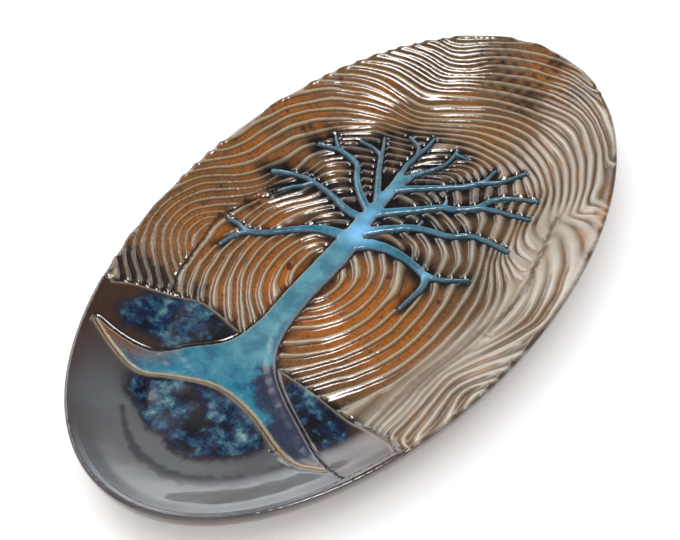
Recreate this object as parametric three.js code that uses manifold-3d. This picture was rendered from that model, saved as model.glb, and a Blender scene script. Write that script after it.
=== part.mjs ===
/**
 * Oval stoneware platter with a carved field and a tree in low relief.
 *
 * Millimetres. +Z is up and z = 0 is the plane the foot stands on. +Y runs along the platter from
 * the roots to the crown of the tree, and +X is to the right of the trunk. The origin is under the
 * middle of the oval.
 *
 * The dish is one oval slab. Its field is cut down below the slab's own face, apart from a lip round
 * the edge. The tree, the hills and the ground stand on the field as thin pieces with their own
 * outlines, a hair's breadth (GAP) above the slab and apart from each other.
 */
import * as THREE from "three";
import { mergeVertices } from "three/addons/utils/BufferGeometryUtils.js";
import Module from "manifold-3d";

const wasm = await Module();
wasm.setup();

// The oval and its height
const LENGTH = 430;
const WIDTH = 240;
const RIM_HEIGHT = 34;
const HALF_LENGTH = LENGTH / 2;
const HALF_WIDTH = WIDTH / 2;

// The slab
const SLAB_THICKNESS = 8.5;
const WELL_DEPTH = 18.5;
const FLANGE_WIDTH = 46;
const FLOOR_INSET = 50;
const EDGE_UNDERCUT = 2;
const FLOOR_HEIGHT = RIM_HEIGHT - WELL_DEPTH;
const UNDERSIDE_HEIGHT = FLOOR_HEIGHT - SLAB_THICKNESS;

// The carved field and what stands on it
const CARVING_DEPTH = 1.8;
const LIP_WIDTH = 3;
const LIP_FALL = 1.5;
const RELIEF_RISE = 0.5;
const GAP = 0.3;

// The foot, measured in from the rim like everything on the oval
const FOOT_INSET = 58;
const FOOT_WIDTH = 10;
const FOOT_DRAFT = 1.5;

// How finely curves are cut into straight steps
const OVAL_STEPS = 96;
const BRANCH_STEPS = 14;
const TIP_STEPS = 3;
const OUTLINE_STEPS = 5;
const FLANGE_STEPS = 7;

// Outlines that run out over the rim reach this far from the middle before the oval cuts them
const OUTSIDE = 130;

const glazes = {
  field: { color: 0x8a5a2b, roughness: 0.3, metalness: 0 },
  foot: { color: 0x4a3428, roughness: 0.9, metalness: 0 },
  trunk: { color: 0x3f86a0, roughness: 0.25, metalness: 0 },
  limb: { color: 0x2d6f90, roughness: 0.25, metalness: 0 },
  hill: { color: 0x1d2a3c, roughness: 0.2, metalness: 0 },
  ground: { color: 0x5a5254, roughness: 0.2, metalness: 0 },
};

/** How far a point lies in from the edge of the oval. */
function insetAt(x, y) {
  const reach = Math.hypot(x / HALF_WIDTH, y / HALF_LENGTH);
  const steepness = Math.hypot(x / HALF_WIDTH ** 2, y / HALF_LENGTH ** 2);
  return steepness === 0 ? HALF_WIDTH : (reach * (1 - reach)) / steepness;
}

/** How far up the flange a height is, 0 on the floor of the well and 1 at the rim. */
function flangeRise(x, y) {
  const climb = Math.min(1, Math.max(0, 1 - insetAt(x, y) / FLANGE_WIDTH));
  return climb * climb * (2 - climb);
}

/** The slab's face before it is carved. */
function slabFace(x, y) {
  return FLOOR_HEIGHT + WELL_DEPTH * flangeRise(x, y);
}

/** The carved field. */
function fieldFace(x, y) {
  return slabFace(x, y) - CARVING_DEPTH;
}

/** The slab's underside. */
function underFace(x, y) {
  return UNDERSIDE_HEIGHT + WELL_DEPTH * flangeRise(x, y);
}

/** Evenly spaced insets from a start on the flange to the level floor. */
function flangeInsets(start) {
  const step = (FLOOR_INSET - start) / FLANGE_STEPS;
  return Array.from({ length: FLANGE_STEPS + 1 }, (_, i) => start + i * step);
}

/** One oval of points at an inset, each at the height that a face has there. */
function ovalRing(inset, face) {
  return Array.from({ length: OVAL_STEPS }, (_, i) => {
    const angle = (i / OVAL_STEPS) * 2 * Math.PI;
    const x = (HALF_WIDTH - inset) * Math.cos(angle);
    const y = (HALF_LENGTH - inset) * Math.sin(angle);
    return [x, y, face(x, y)];
  });
}

/** Triangles between two neighbouring rings, which start at these places in the list of points. */
function bandTriangles(first, second) {
  const triangles = [];
  for (let i = 0; i < OVAL_STEPS; i += 1) {
    const next = (i + 1) % OVAL_STEPS;
    triangles.push(first + i, second + i, second + next, first + i, second + next, first + next);
  }
  return triangles;
}

/** Triangles from one ring in to a point in the middle. */
function fanTriangles(ring, middle, facesUp) {
  const triangles = [];
  for (let i = 0; i < OVAL_STEPS; i += 1) {
    const next = (i + 1) % OVAL_STEPS;
    const pair = facesUp ? [ring + i, ring + next] : [ring + next, ring + i];
    triangles.push(middle, ...pair);
  }
  return triangles;
}

function geometryFrom(points, triangles) {
  const geometry = new THREE.BufferGeometry();
  geometry.setAttribute("position", new THREE.Float32BufferAttribute(points.flat(), 3));
  geometry.setIndex(triangles);
  return geometry;
}

/** A closed oval plate: rings from the top's middle out over the edge and back in underneath. */
function ovalPlate(rings, topFace, bottomFace) {
  const points = rings.flat();
  const triangles = [];
  for (let i = 0; i + 1 < rings.length; i += 1) {
    triangles.push(...bandTriangles(i * OVAL_STEPS, (i + 1) * OVAL_STEPS));
  }
  const topMiddle = points.push([0, 0, topFace(0, 0)]) - 1;
  const bottomMiddle = points.push([0, 0, bottomFace(0, 0)]) - 1;
  triangles.push(...fanTriangles(0, topMiddle, true));
  triangles.push(...fanTriangles((rings.length - 1) * OVAL_STEPS, bottomMiddle, false));
  return geometryFrom(points, triangles);
}

/** A closed oval hoop, whose rings run round its section and back to the first. */
function ovalHoop(rings) {
  const triangles = rings.flatMap((_, i) => {
    const next = (i + 1) % rings.length;
    return bandTriangles(i * OVAL_STEPS, next * OVAL_STEPS);
  });
  return geometryFrom(rings.flat(), triangles);
}

/** A geometry as a solid that can be joined and cut. */
function solidOf(geometry) {
  const bare = geometry.clone();
  bare.deleteAttribute("normal");
  bare.deleteAttribute("uv");
  const merged = mergeVertices(bare);
  return new wasm.Manifold(
    new wasm.Mesh({
      numProp: 3,
      vertProperties: new Float32Array(merged.attributes.position.array),
      triVerts: new Uint32Array(merged.index.array),
    }),
  );
}

/** A solid back as a geometry. */
function geometryOf(solid) {
  const mesh = solid.getMesh();
  const geometry = new THREE.BufferGeometry();
  geometry.setAttribute("position", new THREE.BufferAttribute(mesh.vertProperties, 3));
  geometry.setIndex(new THREE.BufferAttribute(mesh.triVerts, 1));
  return geometry;
}

function namedMesh(name, geometry, glaze) {
  geometry.computeVertexNormals();
  const mesh = new THREE.Mesh(geometry, new THREE.MeshStandardMaterial(glaze));
  mesh.name = name;
  return mesh;
}

/** A smooth open curve through hand-set points on the plan. */
function smoothCurve(points) {
  const places = points.map(([x, y]) => new THREE.Vector3(x, y, 0));
  return new THREE.CatmullRomCurve3(places, false, "centripetal");
}

/** The same curve cut into straight steps, as part of an outline. */
function smoothLine(points) {
  const steps = (points.length - 1) * OUTLINE_STEPS;
  return smoothCurve(points).getPoints(steps).map((place) => new THREE.Vector2(place.x, place.y));
}

/** Straight corners as part of an outline. */
function corners(points) {
  return points.map(([x, y]) => new THREE.Vector2(x, y));
}

/** An upright block with the given outline, taller than the whole platter. */
function outlineBlock(points) {
  const outline = new THREE.Shape(points);
  return solidOf(new THREE.ExtrudeGeometry(outline, { depth: RIM_HEIGHT * 2, bevelEnabled: false }));
}

/** A tapering branch round a smooth line, with a rounded tip; its width eases from base to tip. */
function branchOutline(points, baseWidth, tipWidth) {
  const curve = smoothCurve(points);
  const right = [];
  const left = [];
  let heading = 0;
  for (let i = 0; i <= BRANCH_STEPS; i += 1) {
    const along = i / BRANCH_STEPS;
    const place = curve.getPointAt(along);
    const ahead = curve.getTangentAt(along);
    const half = (tipWidth + (baseWidth - tipWidth) * (1 - along) ** 2) / 2;
    heading = Math.atan2(ahead.y, ahead.x);
    right.push(new THREE.Vector2(place.x + half * ahead.y, place.y - half * ahead.x));
    left.push(new THREE.Vector2(place.x - half * ahead.y, place.y + half * ahead.x));
  }
  const end = curve.getPointAt(1);
  const tip = [];
  for (let i = 1; i < TIP_STEPS; i += 1) {
    const turn = heading - Math.PI / 2 + (Math.PI * i) / TIP_STEPS;
    const half = tipWidth / 2;
    tip.push(new THREE.Vector2(end.x + half * Math.cos(turn), end.y + half * Math.sin(turn)));
  }
  return [...right, ...tip, ...left.reverse()];
}

/** The block of a limb and its twigs, joined. */
function limbBlock(branches) {
  return branches
    .map(({ line, base, tip }) => outlineBlock(branchOutline(line, base, tip)))
    .reduce((whole, part) => whole.add(part));
}

/** Moves each point of a counter-clockwise outline outwards. */
function grownOutline(points, distance) {
  return points.map((point, i) => {
    const before = points[(i + points.length - 1) % points.length];
    const after = points[(i + 1) % points.length];
    const along = after.clone().sub(before).normalize();
    return new THREE.Vector2(point.x + distance * along.y, point.y - distance * along.x);
  });
}

/** The layer that every relief piece is cut from. It lies GAP above the field. */
function reliefLayer() {
  const topFace = (x, y) => slabFace(x, y) + RELIEF_RISE;
  const bottomFace = (x, y) => fieldFace(x, y) + GAP;
  const [fieldStart, ...inner] = flangeInsets(LIP_WIDTH + LIP_FALL);
  const insets = [fieldStart + GAP, ...inner];
  const topRings = insets.map((inset) => ovalRing(inset, topFace)).reverse();
  const bottomRings = insets.map((inset) => ovalRing(inset, bottomFace));
  return solidOf(ovalPlate([...topRings, ...bottomRings], topFace, bottomFace));
}

/** The dish: lip, carved field, edge and underside. */
function dishSlab() {
  const fieldInsets = flangeInsets(LIP_WIDTH + LIP_FALL).reverse();
  const fieldRings = fieldInsets.map((inset) => ovalRing(inset, fieldFace));
  const lipRings = [LIP_WIDTH, 0].map((inset) => ovalRing(inset, slabFace));
  const underRings = flangeInsets(EDGE_UNDERCUT).map((inset) => ovalRing(inset, underFace));
  return ovalPlate([...fieldRings, ...lipRings, ...underRings], fieldFace, underFace);
}

/** The foot: an oval hoop with tapering sides and a flat bottom and top. */
function footRing() {
  const top = () => UNDERSIDE_HEIGHT - GAP;
  const bottom = () => 0;
  return ovalHoop([
    ovalRing(FOOT_INSET, top),
    ovalRing(FOOT_INSET + FOOT_DRAFT, bottom),
    ovalRing(FOOT_INSET + FOOT_WIDTH - FOOT_DRAFT, bottom),
    ovalRing(FOOT_INSET + FOOT_WIDTH, top),
  ]);
}

/** The trunk and the two roots, counter-clockwise from the left root's tip. */
function trunkOutline() {
  const underArch = smoothLine([
    [-89, -130],
    [-73.6, -135],
    [-54, -137],
    [-37, -128.6],
    [-12, -119.5],
    [13, -122.5],
    [41, -133.5],
    [57, -137],
    [73, -134.5],
  ]);
  const rightSide = smoothLine([
    [73, -132.5],
    [51, -120],
    [18.8, -100.6],
    [4.8, -87.3],
    [-3.6, -70],
    [-7.6, -40],
    [-8, 0],
    [-11, 20],
    [-14.6, 40],
    [-16.4, 66],
    [-14.6, 79],
  ]);
  const leftSide = smoothLine([
    [-25.8, 78.5],
    [-24.2, 66],
    [-24, 30],
    [-23.4, -40],
    [-22.6, -70],
    [-27.4, -90],
    [-41.4, -105],
    [-55.4, -119.5],
    [-75, -126.5],
    [-89, -128],
  ]);
  const crotch = new THREE.Vector2(-20.6, 77.5);
  return [...underArch, ...rightSide, crotch, ...leftSide];
}

/** A branch: its width at the base, its width at the tip, and the points that its middle passes. */
const branch = (base, tip, ...line) => ({ base, tip, line });

/** The limbs, each as itself and then its twigs. */
const limbs = {
  limb_left_1: [
    branch(9, 4, [-18, 15], [-27, 14], [-38, 9.9], [-49.5, 1], [-61, -10.4], [-71.5, -16.6]),
    branch(3.6, 2.4, [-69, -15.4], [-73.5, -15.6], [-78, -14.5], [-85.5, -15.5]),
    branch(3.6, 2.4, [-70, -15.4], [-74, -21], [-76, -26.5], [-77.4, -34]),
  ],
  limb_left_2: [
    branch(
      6.5,
      2.8,
      [-18, 33], [-32.5, 33.2], [-44, 37], [-61, 40.6],
      [-72.5, 40.6], [-82.5, 35.8], [-87.5, 31],
    ),
    branch(3.6, 2.2, [-63, 41], [-67.2, 34], [-71.7, 29.5], [-76.3, 22]),
  ],
  limb_left_3: [
    branch(6.4, 3.6, [-18, 38.5], [-27, 44], [-38, 53], [-45.5, 61.8], [-50, 69], [-57.5, 72], [-69, 73.8]),
    branch(3.2, 2.2, [-67, 73.6], [-72.3, 77.8], [-75.1, 80.7]),
    branch(3.2, 2.2, [-67, 73.8], [-73, 71.4], [-79.3, 68.3]),
  ],
  limb_left_4: [
    branch(5.2, 3.6, [-20.5, 48], [-27, 57.7], [-31.4, 64.8], [-37, 74], [-42.5, 84]),
    branch(3.4, 2.2, [-41.5, 82.2], [-45.6, 91], [-50, 98.8]),
    branch(3.2, 2.2, [-40.4, 81.8], [-46, 85.9], [-52, 87.3], [-60.3, 87.8]),
  ],
  limb_left_5: [
    branch(4.4, 3.2, [-21.2, 70], [-23.5, 79.5], [-24.8, 87], [-24.3, 92.5], [-25, 101.5]),
    branch(3.2, 2.2, [-24.6, 99], [-28, 104.5], [-37.4, 109]),
    branch(3.2, 2.2, [-24.6, 99], [-23.4, 107], [-24, 116.5]),
  ],
  limb_leader: [
    branch(4.6, 2.4, [-19.4, 74], [-16.8, 80.5], [-12.5, 88], [-7.8, 95], [-5.2, 103], [-6, 115.6]),
    branch(2.4, 1.8, [-5.2, 112.6], [2.4, 113]),
  ],
  limb_right_1: [
    branch(10, 5, [-14, 11], [-9, 15.2], [-3.4, 18.6], [3.4, 20.7], [14, 21.1], [26, 19.2], [38, 15]),
    branch(4.4, 2.4, [34, 16.6], [43.2, 18.1], [50.5, 22.2], [58.3, 27.7]),
    branch(5.4, 2.8, [35.5, 16.4], [38.9, 9.5], [38.8, 0], [37.7, -13.6]),
  ],
  limb_right_2: [
    branch(
      7,
      3.2,
      [-16, 22], [-10.2, 27.8], [-4.5, 33.6], [8, 44], [20.5, 48.4],
      [30, 50.8], [39, 58.4], [50, 60.4], [64, 60.3],
    ),
    branch(3.4, 2.2, [10, 45], [10, 51.6]),
  ],
  limb_right_3: [
    branch(6.6, 4.2, [-18, 40], [-8, 49.2], [3.4, 59.4], [13, 68.4], [20.5, 71.6], [33, 83]),
    branch(5.5, 2.2, [14.4, 68.5], [12, 75.4]),
    branch(4.4, 2.6, [31, 81], [34.3, 90], [38.6, 95.9], [47, 101.6], [57.5, 106.4]),
    branch(3.8, 2.4, [30, 80.4], [38.7, 84.4], [49, 87], [61.4, 90.2]),
  ],
  limb_right_4: [
    branch(5.6, 3.4, [-20, 63.6], [-10.2, 71.7], [5.7, 84.2], [12.5, 89.8], [18.2, 96.2], [23, 103]),
    branch(3.2, 2.2, [22.4, 101.8], [22.7, 107.3], [23, 114.1]),
    branch(3.4, 2.2, [21.6, 101], [26, 103.6], [30.7, 107.6], [35.2, 115.4], [39.2, 123.2]),
  ],
};

/** The left hill, between its skyline, the left root and the rim. */
function hillLeftOutline() {
  const skyline = smoothLine([
    [-15, -81],
    [-27.4, -80.3],
    [-42.8, -77.1],
    [-58.2, -76.1],
    [-72.2, -81.7],
    [-90.4, -93.6],
    [-103.7, -108.3],
    [-OUTSIDE, -138],
  ]);
  return [...skyline, ...corners([[-89, -129.3], [-54, -130], [-12, -112]])];
}

/** The right hill, between its skyline, the right root and the rim. */
function hillRightOutline() {
  const skyline = smoothLine([
    [OUTSIDE, -129],
    [101, -109],
    [84.6, -98.5],
    [58, -95.3],
    [30, -91.1],
    [-10, -88.5],
  ]);
  return [...skyline, ...corners([[-10, -110], [20, -111], [57, -131], [73, -133], [OUTSIDE, -150]])];
}

/** The ground below the root arch, out to the rim. */
function groundOutline() {
  return corners([
    [-OUTSIDE, -HALF_LENGTH],
    [OUTSIDE, -HALF_LENGTH],
    [OUTSIDE, -150 - GAP],
    [73, -133.6],
    [57, -131],
    [20, -115],
    [-12, -115],
    [-54, -131],
    [-89, -129.6],
    [-OUTSIDE, -138 - GAP],
  ]);
}

/** Everything in relief, cut from one layer and clear of each other. */
function reliefMeshes() {
  const layer = reliefLayer();
  const trunk = trunkOutline();
  const trunkWithGap = outlineBlock(grownOutline(trunk, GAP));
  const standClear = (block) => geometryOf(layer.intersect(block.subtract(trunkWithGap)));
  const trunkPiece = geometryOf(layer.intersect(outlineBlock(trunk)));
  const meshes = [namedMesh("trunk_and_roots", trunkPiece, glazes.trunk)];
  for (const [name, branches] of Object.entries(limbs)) {
    meshes.push(namedMesh(name, standClear(limbBlock(branches)), glazes.limb));
  }
  meshes.push(namedMesh("hill_left", standClear(outlineBlock(hillLeftOutline())), glazes.hill));
  meshes.push(namedMesh("hill_right", standClear(outlineBlock(hillRightOutline())), glazes.hill));
  meshes.push(namedMesh("ground_front", standClear(outlineBlock(groundOutline())), glazes.ground));
  return meshes;
}

const platter = new THREE.Group();
platter.add(namedMesh("dish_slab", dishSlab(), glazes.field));
platter.add(namedMesh("foot_ring", footRing(), glazes.foot));
platter.add(...reliefMeshes());

export default platter;
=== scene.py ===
"""Looks for the carved oval platter: glazed stoneware with a bare tree in low relief.

Lengths are in millimetres, in the row frame, until a mesh is made, which is in metres.
x runs across the platter, y up the tree from the front, and z up from the table.
The field round the tree is carved with wavy grooves. Their crests are set out below
as numbered strokes; a smooth field of numbers is fitted through the strokes, and a crest
runs wherever the field passes a whole number.
"""

import math

import bpy
import numpy as np
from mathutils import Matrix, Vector
from mathutils.kdtree import KDTree


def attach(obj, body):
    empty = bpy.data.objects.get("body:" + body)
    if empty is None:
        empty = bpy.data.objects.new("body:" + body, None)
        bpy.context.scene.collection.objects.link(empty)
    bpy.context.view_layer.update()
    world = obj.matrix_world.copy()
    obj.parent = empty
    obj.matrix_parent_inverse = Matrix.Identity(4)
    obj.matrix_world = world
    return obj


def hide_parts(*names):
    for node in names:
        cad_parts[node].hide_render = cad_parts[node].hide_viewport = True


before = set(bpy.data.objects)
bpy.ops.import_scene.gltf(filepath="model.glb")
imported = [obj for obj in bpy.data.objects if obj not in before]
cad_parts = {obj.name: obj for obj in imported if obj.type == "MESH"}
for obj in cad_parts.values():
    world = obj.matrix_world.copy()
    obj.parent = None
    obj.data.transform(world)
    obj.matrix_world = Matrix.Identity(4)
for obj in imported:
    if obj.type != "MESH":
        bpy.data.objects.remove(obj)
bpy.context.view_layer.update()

# The dish, as the CAD part has it.
HALF_WIDTH = 120.0
HALF_LENGTH = 215.0
FLANGE_WIDTH = 46.0
FLOOR_HEIGHT = 15.5
WELL_DEPTH = 18.5
SLAB_THICKNESS = 8.5
# The deepest groove, and the deepest as a share of the distance from crest to crest.
CARVING_DEPTH = 1.8
DEPTH_PER_PITCH = 0.27
# No glaze may stand above the CAD rim.
RIM_CEILING = 33.98

# Spacing of the grids that the surfaces are modelled on.
FIELD_CELL = 1.0
SLAB_CELL = 1.0
TREE_CELL = 0.55
GROUND_CELL = 0.85

TREE_NODES = (
    "trunk_and_roots", "limb_left_1", "limb_left_2", "limb_left_3", "limb_left_4",
    "limb_left_5", "limb_leader", "limb_right_1", "limb_right_2", "limb_right_3",
    "limb_right_4",
)
GROUND_NODES = ("hill_left", "hill_right", "ground_front")
# The camera's side, seen from above.
TO_CAMERA = np.array([0.583, -0.812])
# How strongly a stroke holds the crest numbers to its own, and how taut the numbers lie between.
STROKE_PULL = 0.4
TENSION = 0.02
# How far the crests stray from their strokes, as a share of the pitch, and over what distance.
STRAY_SHARE = 0.03
STRAY_SIZE = 26

# Crest strokes: the crest's number, then points along it. The ones marked as converted were picked
# in the photo and turned into millimetres by a scratch program, and then thinned or moved a little.
# The others were read off the photo laid flat.
STROKES = [
    # the hollows inside the innermost rings, beside the trunk
    (0.5, [(-24.5, -9), (-25.5, -18), (-24, -28)]),
    (6.5, [(-5.5, -17), (-4.8, -24), (-6, -32)]),
    # rings left of the trunk, from the trunk out to the rim
    (1, [(-26, 0), (-29, -6), (-30.4, -15), (-29.8, -23), (-27, -31), (-22, -37)]),
    (2, [(-24.7, 3.8), (-30.9, -0.4), (-35.1, -7.7), (-36.9, -17), (-36.1, -28.5), (-33, -37.9),
        (-28.3, -45.2), (-22, -51.5)]),
    (4, [(-45, 1.7), (-48.3, -6.7), (-49.9, -18.1), (-49.2, -30.6), (-46, -43.1), (-37.7, -56.7),
        (-22, -71)]),
    (5, [(-53.3, -6.7), (-56.3, -19.2), (-54.9, -31.7), (-51.3, -44.2), (-42.9, -57.7), (-24.2, -78.5)]),
    # the outer ones of them, converted
    (6, [(-61, -30), (-59, -40), (-55, -52), (-50, -60), (-43, -69)]),
    (7, [(-67.2, -20), (-67, -34), (-65, -44), (-61, -56), (-56, -66), (-50, -74)]),
    (8, [(-73.3, -22), (-73, -38), (-71, -46), (-69, -56), (-64, -67), (-58, -75)]),
    (9, [(-78.5, -22), (-78, -35), (-77, -51), (-74, -61), (-70, -70), (-66, -76)]),
    (10, [(-86.5, -20), (-86, -27), (-84, -37), (-83, -46), (-81, -54), (-80, -63), (-77, -70),
        (-72, -78)]),
    # the second whorl, on the left flange, converted
    (9, [(-84, -52), (-87, -48), (-90, -42), (-91, -35), (-91, -30), (-90, -26)]),
    (10, [(-84, -57), (-86, -54), (-90, -50), (-93, -46), (-95, -39), (-95, -32), (-94, -27), (-91, -21)]),
    (11, [(-83, -62), (-87, -59), (-91, -56), (-95, -51), (-98, -44), (-99, -37), (-98, -29), (-95, -23),
        (-92, -17)]),
    (12, [(-81, -69), (-85, -66), (-90, -63), (-94, -59), (-98, -54), (-101, -47), (-102, -37), (-102, -31),
        (-100, -24), (-95, -14), (-90, -6)]),
    (13, [(-78, -76), (-84, -73.5), (-91, -68), (-96, -63), (-102, -55), (-105, -46), (-106, -35),
        (-105, -25), (-101, -16), (-95, -6), (-90, 2), (-86, 10), (-83, 18), (-80, 27)]),
    (14, [(-81, -83), (-86, -80), (-93, -74), (-99, -69), (-105, -60), (-108.5, -51), (-110, -38),
        (-109, -27), (-105, -13), (-99, -3), (-92, 7), (-87, 15), (-84, 23)]),
    (15, [(-88, -84), (-96, -79), (-103, -73), (-108, -65), (-112, -54), (-114, -41), (-113, -28),
        (-110, -14), (-105, -4), (-98, 6), (-91, 17), (-88, 26)]),
    (16, [(-93, -88), (-101, -83), (-108, -75), (-112, -66), (-115, -54), (-117, -40), (-116.5, -26),
        (-114, -13), (-108, -1), (-100, 10), (-95, 20), (-92.5, 28)]),
    (17, [(-96, -94), (-105, -87), (-111, -77), (-114, -67)]),
    (18, [(-99, -99), (-104, -95), (-108, -90)]),
    # from the left flange up to the arches, converted
    (17, [(-119, -15), (-115, -4), (-111, 4), (-106, 12), (-102, 20), (-98.5, 30), (-97, 40), (-95, 48),
        (-93, 57), (-90, 64), (-86.5, 71)]),
    (18, [(-119, -4), (-117, 2), (-113, 10), (-109, 18), (-105, 27), (-103, 37), (-101, 50), (-98, 63),
        (-93, 74), (-88, 83), (-82, 90)]),
    (19, [(-115, 16), (-112, 24), (-109.5, 34), (-108, 45), (-106, 54), (-103, 67), (-97, 80), (-89, 92),
        (-82, 100), (-72, 108), (-60, 114.5)]),
    (20, [(-118, 22), (-115, 32), (-113.5, 46), (-110, 59), (-106, 73), (-100, 84), (-94, 95), (-88, 103),
        (-79, 111), (-70, 117.5), (-60, 122)]),
    (21, [(-114.5, 65), (-110, 79), (-103, 93), (-97, 102), (-91, 108), (-86, 112), (-76, 120),
        (-61, 126.5)]),
    # the same rings between the lowest two limbs on the left
    (4, [(-41, 13), (-37, 18.5), (-32, 22.4), (-26, 25.5)]),
    (5, [(-44.9, 11), (-42, 19.9), (-37.6, 25.8), (-31, 30)]),
    (6, [(-58.9, -6), (-58.2, 1.5), (-56, 9.6), (-52.3, 17), (-47.9, 24.3), (-41, 31.5)]),
    (7, [(-66.6, -11), (-66.6, -2.9), (-64.8, 7.4), (-61.1, 15.5), (-55.2, 23.6), (-49, 32)]),
    (8, [(-73.3, -13), (-72.9, 0), (-69.9, 9.6), (-66.3, 17), (-60.4, 24.3), (-55, 34)]),
    (9, [(-78, -13), (-77.3, 0), (-75.5, 9.6), (-72.1, 17), (-67.7, 23.6), (-63, 32)]),
    (10, [(-85, -11), (-83, -1.4), (-80.5, 7)]),
    # tight arcs between the second and third limbs on the left
    (15, [(-78, 45), (-77.7, 55.9), (-75.5, 62.6), (-71, 69)]),
    (14, [(-70.7, 45), (-69.9, 55.9), (-66.6, 62.6), (-61, 69)]),
    (13, [(-67.7, 45), (-66.3, 56.7), (-61.9, 62.6), (-54, 68)]),
    (12, [(-63.3, 44), (-60.4, 53), (-55.2, 57.4), (-47.5, 63)]),
    (11, [(-57.2, 43), (-54.5, 50), (-50, 53.7), (-42, 57)]),
    (10, [(-49.5, 41), (-44.9, 46.4), (-38, 50)]),
    (9, [(-42, 37), (-36.1, 42.7), (-31, 45.5)]),
    # bars between the third and fourth
    (13, [(-66, 77), (-57, 81.5), (-48, 84)]),
    (12, [(-57, 74), (-50, 77), (-41, 80.5)]),
    (11, [(-50, 70), (-46.4, 72), (-36, 77)]),
    (10, [(-44, 66.5), (-33, 71)]),
    (9, [(-40, 61), (-30, 65.5)]),
    (8, [(-36.1, 56), (-27, 60)]),
    (7, [(-32, 52), (-25, 55.2)]),
    # bars between the fourth and fifth
    (14, [(-47, 92), (-41.7, 93.5), (-25, 98.7)]),
    (13, [(-40, 87.5), (-25, 93.8)]),
    (12, [(-37, 82.3), (-25, 87.3)]),
    (11, [(-33, 77), (-25, 80)]),
    # between the fifth and the leader
    (16, [(-24, 104), (-21.6, 105), (-14, 112.5), (-6, 117.5)]),
    (15, [(-24, 94), (-21.6, 96), (-15.9, 103.9), (-5, 110.5)]),
    (14, [(-23, 86), (-15, 97), (-8, 102.5)]),
    (13, [(-21, 80), (-16, 89)]),
    # small arches between the leader and the fourth limb on the right
    (14, [(-4, 104), (3, 110), (10, 111.7), (17, 110), (21.5, 105)]),
    (13, [(-5.5, 99), (0, 104.2), (8, 107), (15, 105.5), (19, 101)]),
    (12, [(-6, 94), (1.5, 100.2), (8, 102.5), (14.5, 99.5)]),
    (11, [(-8, 89), (-1, 95), (6, 97.5), (13, 94)]),
    (10, [(-11, 84), (-4, 90), (3, 93), (8.5, 90.5)]),
    (9, [(-14, 78), (-5, 84), (2, 86)]),
    # flutes between the fourth and third on the right
    (8, [(-14, 61), (-4.5, 61.8), (1, 58.4)]),
    (9, [(-12, 68.4), (1, 69.8), (9, 65.4)]),
    (10, [(-4, 75.5), (6.8, 73.2), (12.5, 68)]),
    (11, [(5, 80), (9, 78.9), (15, 72)]),
    (12, [(12, 87), (13.6, 84.5), (21, 75)]),
    (13, [(19, 97), (20.5, 94.8), (29, 80)]),
    (14, [(26, 102), (28, 99.5), (33.4, 87)]),
    (15, [(33, 106), (38, 99)]),
    (16, [(37.5, 116), (43, 109), (47.7, 101.6)]),
    (17, [(43, 118.6), (49, 113), (54.5, 107)]),
    # flutes between the third and second
    (8, [(-12, 34), (-3.4, 34.5)]),
    (9, [(-13, 42), (0, 43.6), (8, 41.4)]),
    (10, [(-11, 50), (1, 51.6), (9, 50), (13, 47)]),
    (11, [(4, 58), (14.8, 57.3), (26, 51.5)]),
    (12, [(11, 65), (22.7, 61.8), (31, 57)]),
    (13, [(21, 71), (33, 66.4), (38.6, 60)]),
    (14, [(33, 81), (38.6, 75), (44, 61)]),
    (15, [(43, 84), (48, 78.5), (52.5, 62)]),
    (16, [(53, 87), (57, 80), (61, 62)]),
    (15, [(39, 94), (44, 86)]),
    (16, [(45, 100), (49, 88)]),
    (17, [(51, 103), (55, 90)]),
    # flutes between the second and first
    (10, [(-3, 29), (9, 28.9), (14, 22)]),
    (11, [(5, 38), (10.2, 35.7), (18.2, 33.4), (25, 21)]),
    (12, [(12, 45), (19.3, 40.2), (27.3, 34.5), (34, 19)]),
    (13, [(23, 48), (29.5, 43.6), (37.5, 35.7), (42, 19)]),
    (14, [(33, 52), (39, 46), (45.5, 38), (48.5, 23)]),
    (15, [(42, 58), (47.5, 49), (54, 36), (54.5, 27)]),
    # rings right of the trunk
    (7, [(-8, -9), (-4, -10), (-1.3, -16), (-1, -24), (-3.4, -33), (-7, -38)]),
    (8, [(-8, 5), (-3, 1), (2.5, -6), (5.6, -15), (5.6, -25), (3, -34), (-2, -42), (-8, -47)]),
    (9, [(0, 10.5), (6, 5), (10.5, -2), (12.8, -11), (12.6, -22), (10.4, -32), (5, -43), (-8, -57)]),
    (11, [(17, 17), (21, 11), (25.5, 2), (28, -9), (28.2, -20), (27.6, -31), (24.5, -42), (19.5, -52),
        (11.5, -62), (-6, -77)]),
    (13, [(36, 15), (40, 9), (42.5, 0), (43.2, -12), (43, -28), (40.5, -40), (36.4, -51), (30.5, -63),
        (21, -77), (9, -92)]),
    (15, [(52, 22), (55.2, 12), (57, 0), (58, -13), (57.6, -28), (55.8, -40), (51.5, -54), (44, -69),
        (35.9, -80), (27, -94)]),
    (16, [(51, 57), (56.5, 45), (60.5, 33), (63.5, 20), (65.5, 5), (66.1, -12), (65.3, -29), (62.5, -46),
        (57.5, -61), (50, -75), (38, -93)]),
    (17, [(56, 57), (62, 43), (67.5, 29), (71.5, 14), (72.8, -3), (72.8, -18), (71, -38), (67, -58),
        (61, -75), (56, -94)]),
    (18, [(60, 50), (66, 40), (72, 31), (77, 20), (79.5, 6), (79.8, -10), (78, -28), (74.5, -42),
        (72.3, -55), (71.8, -75), (71.8, -94)]),
    (20, [(62, 60), (68, 51), (76, 44), (83, 34), (87, 20), (89, 4), (88, -14), (84.5, -30), (81.3, -42),
        (80.5, -55), (80.7, -75), (79.8, -94)]),
    # fan to the right of the crown
    (19, [(57, 118), (61.5, 102), (63.5, 89), (68, 80), (74, 75), (82, 72)]),
    (18, [(48, 122), (57, 107), (60.5, 94), (61.5, 82), (65, 73), (72, 66), (82, 62)]),
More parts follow.
